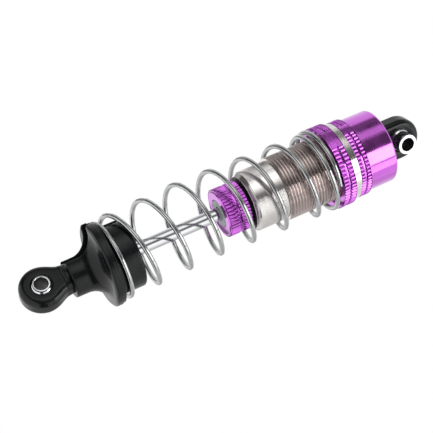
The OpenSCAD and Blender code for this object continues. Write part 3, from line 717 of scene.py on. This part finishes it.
def lowerCup():
    cup = {"hub": 4.4, "hubEnd": -81.3, "shankBore": 3.15, "shankTop": -77.3, "rodBore": 1.7,
           "flareEnd": -74.5, "flare": 4.1, "flange": 9.5, "rim": 0.55, "rimRise": 0.35, "lipRadius": 9.3,
           "lipHeight": 0.6, "seat": -72.3, "drum": 7.7, "drumTop": -66.6, "drumFloor": -71.6,
           "drumInner": 6.3, "slotHalf": 2.4, "slotAt": -24.0, "slotEdge": 0.22, "flareSweep": 86,
           "flarePoints": 12, "columns": 150}
    flareEnd, lipZ = cup["flareEnd"], cup["seat"] - cup["lipHeight"]
    sweep = np.radians(np.linspace(0, cup["flareSweep"], cup["flarePoints"]))
    flare = [(cup["hub"] + cup["flare"] * (1 - math.cos(a)), flareEnd - cup["flare"] * (1 - math.sin(a)))
             for a in sweep]
    corners = [(cup["rodBore"], cup["shankTop"]), (cup["shankBore"], cup["shankTop"]),
               (cup["shankBore"], cup["hubEnd"], 0.12), (cup["hub"], cup["hubEnd"], 0.3), *flare,
               (cup["flange"] - cup["rim"], flareEnd), (cup["flange"], flareEnd + cup["rimRise"], 0.3),
               (cup["flange"], lipZ, 0.3), (cup["lipRadius"], lipZ), (cup["lipRadius"], cup["seat"], 0.12),
               (cup["drum"], cup["seat"]), (cup["drum"], cup["drumTop"], 0.5),
               (cup["drumInner"], cup["drumTop"], 0.3), (cup["drumInner"], cup["drumFloor"], 0.2),
               (cup["rodBore"], cup["drumFloor"], 0.1)]
    outline = roundedOutline(corners, steps=4)
    rows = len(outline)
    # outward normals of the outline, to round the slot's edges
    tangent = np.roll(outline, -1, 0) - np.roll(outline, 1, 0)
    normal = np.stack([tangent[:, 1], -tangent[:, 0]], -1)
    normal = normal / np.maximum(np.linalg.norm(tangent, axis=1), hair)[:, None]
    # each side is a ring of radii, heights and angles; the first and last four round an edge of the slot
    half, edge, slotAt = cup["slotHalf"], cup["slotEdge"], math.radians(cup["slotAt"])
    innermost = half * 1.0001  # just outside the radius where the slot's two walls would meet
    rounded = []
    for phi in np.radians([0, 30, 60, 90]):
        shape = outline - normal * edge * (1 - math.sin(phi))
        r = np.maximum(shape[:, 0], innermost)
        wall = half + edge * (1 - math.cos(phi))
        rounded.append((r, shape[:, 1], np.arcsin(np.clip(wall / r, 0, 1))))
    heights, opening = rounded[-1][1:]
    around = 2 * math.pi
    side = [(r, z, slotAt + a) for r, z, a in rounded]
    side += [(outline[:, 0], heights, slotAt + opening + (around - 2 * opening) * s)
             for s in np.linspace(0, 1, cup["columns"])[1:-1]]
    side += [(r, z, slotAt + around - a) for r, z, a in reversed(rounded)]
    points = np.concatenate([np.stack([r * np.cos(a), r * np.sin(a), z], -1) for r, z, a in side])
    last = (len(side) - 1) * rows
    faces = [(j + i, j + rows + i, j + rows + (i + 1) % rows, j + (i + 1) % rows)
             for j in range(0, last, rows) for i in range(rows)]
    # the two walls of the slot, cut into triangles because their outline is hollow
    firstR, firstZ = side[0][:2]
    for a, b, c in tessellate_polygon([[Vector((r, z, 0)) for r, z in zip(firstR, firstZ)]]):
        turn = ((firstR[b] - firstR[a]) * (firstZ[c] - firstZ[a])
                - (firstR[c] - firstR[a]) * (firstZ[b] - firstZ[a]))
        if turn < 0:
            b, c = c, b
        faces += [(a, b, c), (last + c, last + b, last + a)]
    newPiece("lower_cup", points, faces, "lower_cup", "black_plastic", sharp=32)


lowerCup()
print("lower cup made")


# these keep their CAD solids and get a finish
for finish, nodes in ((finishes["polished_steel"], ["shock_rod"]),
                      (finishes["grey_rubber"], ["bladder", "collar_ring"]),
                      (finishes["red_rubber"], ["upper_seal_ring", "lower_seal_ring"]),
                      (finishes["white_plastic"], ["seal_washer", "seal_spacer", "piston"]),
                      (clipSteel, ["upper_clip", "lower_clip"])):
    for node in nodes:
        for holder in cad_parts[node].material_slots:
            holder.material = finish
print("inner parts dressed")


# floor, lamps and camera, with cards and walls that only reflections see
studio = {
    "floor": {"z": -0.15, "half": 3.0, "colour": 0.8, "glow": 0.85, "worldLight": 0.4},
    # bearings in degrees from +X, and radiance
    "lamps": {"radius": 0.48, "low": 0.165, "high": 0.62,
              "strips": [(69, 107.5, 3.1), (112.5, 134.0, 1.35)]},
    # cards on the floor: inner and outer radius, bearings, and the level that reflections show there
    "cards": [(0.1, 0.5, -60, 150, 0.1), (0.1, 0.6, 150, 215, 0.75), (0.1, 0.6, 215, 262, 1.05),
              (0.1, 0.6, 262, 300, 0.4)],
    "cardLift": 0.001, "cardPoints": 23, "wallRadius": 0.55, "wallStep": 6,
    # rows of walls from the floor up: lowest and highest z, then strips of bearings and level
    "walls": {
        "footWall": (-0.149, -0.06, [
            (62, 80, 0.3), (80, 150, 1.2), (150, 262, 0.75), (262, 310, 0.35), (310, 354, 0.35),
            (354, 392, 1.2), (392, 404, 0.9), (404, 422, 0.3)]),
        "lowWall": (-0.06, 0.143, [
            (62, 70, 0.15), (70, 80, 0.4), (80, 92, 1.2), (92, 118, 1.5), (118, 130, 1.3), (130, 142, 1.1),
            (142, 154, 0.92), (154, 180, 0.78), (180, 250, 0.6), (250, 274, 1.3), (274, 286, 1.15),
            (286, 298, 1.0), (298, 310, 0.87), (310, 322, 0.68), (322, 334, 0.5), (334, 354, 0.3),
            (354, 366, 0.75), (366, 392, 1.4), (392, 404, 1.1), (404, 414, 0.45), (414, 422, 0.15)]),
        "middleWall": (0.143, 0.187, [
            (72, 108, 0.3), (108, 180, 0.5), (180, 262, 0.6), (262, 274, 0.35), (274, 298, 0.1),
            (298, 310, 0.3), (310, 322, 0.6), (322, 346, 0.95), (346, 357, 1.4), (357, 384, 1.9),
            (384, 396, 1.1), (396, 408, 0.4), (408, 432, 0.15)]),
        "collarWall": (0.187, 0.207, [
            (69, 132, 0.8), (132, 144, 1.0), (144, 192, 0.82), (192, 216, 0.9), (216, 262, 0.95),
            (262, 312, 0.8), (312, 322, 0.4), (322, 384, 0.1), (384, 429, 0.12)]),
        "highWall": (0.207, 0.9, [
            (69, 108.5, 1.0), (107.5, 112.5, 0.1), (112.5, 132, 1.0), (132, 166, 1.05), (166, 192, 0.82),
            (192, 216, 0.9), (216, 262, 0.95), (262, 324, 0.97), (324, 329, 0.5), (329, 345, 0.2),
            (345, 359, 0.13), (359, 365, 0.5), (365, 384, 0.82), (384, 391, 0.4), (391, 429, 0.12)])}}


def emptyTree(owner):
    # a material or world without its first nodes
    owner.use_nodes = True
    owner.node_tree.nodes.clear()
    return owner.node_tree


def glowing(name, level):
    material = bpy.data.materials.new(name)
    tree = emptyTree(material)
    light = addNode(tree, "ShaderNodeEmission", {"Color": (level, level, level, 1), "Strength": 1.0})
    addNode(tree, "ShaderNodeOutputMaterial", {"Surface": light.outputs[0]})
    return material


def stageMesh(name, points, faces, material):
    mesh = bpy.data.meshes.new(name)
    mesh.from_pydata(points, [], faces)
    mesh.materials.append(material)
    thing = bpy.data.objects.new(name, mesh)
    bpy.context.scene.collection.objects.link(thing)
    return thing


def reflectedStrip(name, points, level):
    # quads between pairs of points, which only reflections see
    faces = [(k, k + 1, k + 3, k + 2) for k in range(0, len(points) - 2, 2)]
    strip = stageMesh(name, points, faces, glowing(name, level))
    strip.visible_camera = strip.visible_diffuse = strip.visible_shadow = False
    strip.visible_volume_scatter = False


def studioCard(near, far, fromAz, toAz, level):
    bearings = np.radians(np.linspace(fromAz, toAz, studio["cardPoints"]))
    z = studio["floor"]["z"] + studio["cardLift"]
    points = [(r * math.cos(a), r * math.sin(a), z) for a in bearings for r in (near, far)]
    reflectedStrip(f"floorCard_{fromAz}", points, level)


def studioWall(row, low, high, fromAz, toAz, level):
    count = max(2, int((toAz - fromAz) / studio["wallStep"]) + 1)
    r, bearings = studio["wallRadius"], np.radians(np.linspace(fromAz, toAz, count))
    points = [(r * math.cos(a), r * math.sin(a), z) for a in bearings for z in (low, high)]
    reflectedStrip(f"{row}_{int(fromAz)}", points, level)


def studioLamp(fromAz, toAz, radiance):
    r, low, high = (studio["lamps"][key] for key in ("radius", "low", "high"))
    middle, half = math.radians((fromAz + toAz) / 2), math.radians(toAz - fromAz) / 2
    width, height = 2 * r * math.tan(half), high - low
    data = bpy.data.lights.new(f"lamp {int(fromAz)}", "AREA")
    data.shape, data.size, data.size_y = "RECTANGLE", width, height
    data.energy = radiance * math.pi * width * height
    lamp = bpy.data.objects.new(data.name, data)
    inward = Vector((-math.cos(middle), -math.sin(middle), 0))
    place = inward * -r + Vector((0, 0, (low + high) / 2))
    lamp.matrix_world = Matrix.Translation(place) @ inward.to_track_quat("-Z", "Y").to_matrix().to_4x4()
    bpy.context.scene.collection.objects.link(lamp)
    lamp.visible_camera = False


def seenRay(tree):
    # 1 for what is looked at, also in a reflection or through glass, 0 for light on a surface
    path = addNode(tree, "ShaderNodeLightPath")
    seen = path.outputs["Is Camera Ray"]
    for ray in ("Is Glossy Ray", "Is Transmission Ray"):
        seen = addNode(tree, "ShaderNodeMath", {0: seen, 1: path.outputs[ray]},
                       operation="MAXIMUM").outputs[0]
    return seen


def paleFloor():
    # white to the eye and to reflections, and it keeps the shadow
    floor = studio["floor"]
    material = bpy.data.materials.new("pale floor")
    tree = emptyTree(material)
    seen = seenRay(tree)
    plain = addNode(tree, "ShaderNodeBsdfDiffuse", {"Color": (*[floor["colour"]] * 3, 1)})
    glow = addNode(tree, "ShaderNodeEmission", {"Color": (1, 1, 1, 1), "Strength": floor["glow"]})
    lit = addNode(tree, "ShaderNodeAddShader", {0: plain.outputs[0], 1: glow.outputs[0]})
    mixed = addNode(tree, "ShaderNodeMixShader", {0: seen, 1: plain.outputs[0], 2: lit.outputs[0]})
    addNode(tree, "ShaderNodeOutputMaterial", {"Surface": mixed.outputs[0]})
    half, z = floor["half"], floor["z"]
    points = [(-half, -half, z), (half, -half, z), (half, half, z), (-half, half, z)]
    stageMesh("floor", points, [(0, 1, 2, 3)], material)


def whiteWorld():
    world = bpy.data.worlds.new("white studio")
    bpy.context.scene.world = world
    tree = emptyTree(world)
    level = addNode(tree, "ShaderNodeMapRange",
                    {"Value": seenRay(tree), "To Min": studio["floor"]["worldLight"], "To Max": 1.0})
    sky = addNode(tree, "ShaderNodeBackground", {"Color": (1, 1, 1, 1), "Strength": level.outputs["Result"]})
    addNode(tree, "ShaderNodeOutputWorld", {"Surface": sky.outputs[0]})


def mainCamera():
    view = {"place": (151.3, 247.6, -132.2), "target": (-0.28, 0.17, -46.28), "roll": 66.66,
            "lens": 116.2, "sensor": 36.0, "near": 5, "far": 20000}
    data = bpy.data.cameras.new("camera")
    data.sensor_width, data.lens = view["sensor"], view["lens"]
    data.clip_start, data.clip_end = view["near"] * mm, view["far"] * mm
    camera = bpy.data.objects.new("camera", data)
    place, target = Vector(view["place"]) * mm, Vector(view["target"]) * mm
    turn = (target - place).to_track_quat("-Z", "Y").to_matrix().to_4x4()
    roll = Matrix.Rotation(math.radians(view["roll"]), 4, "Z")
    camera.matrix_world = Matrix.Translation(place) @ turn @ roll
    bpy.context.scene.collection.objects.link(camera)
    bpy.context.scene.camera = camera


for card in studio["cards"]:
    studioCard(*card)
for row, (low, high, strips) in studio["walls"].items():
    for strip in strips:
        studioWall(row, low, high, *strip)
for strip in studio["lamps"]["strips"]:
    studioLamp(*strip)
paleFloor()
whiteWorld()
mainCamera()
bpy.context.scene.view_settings.view_transform = "Standard"
print("studio made")
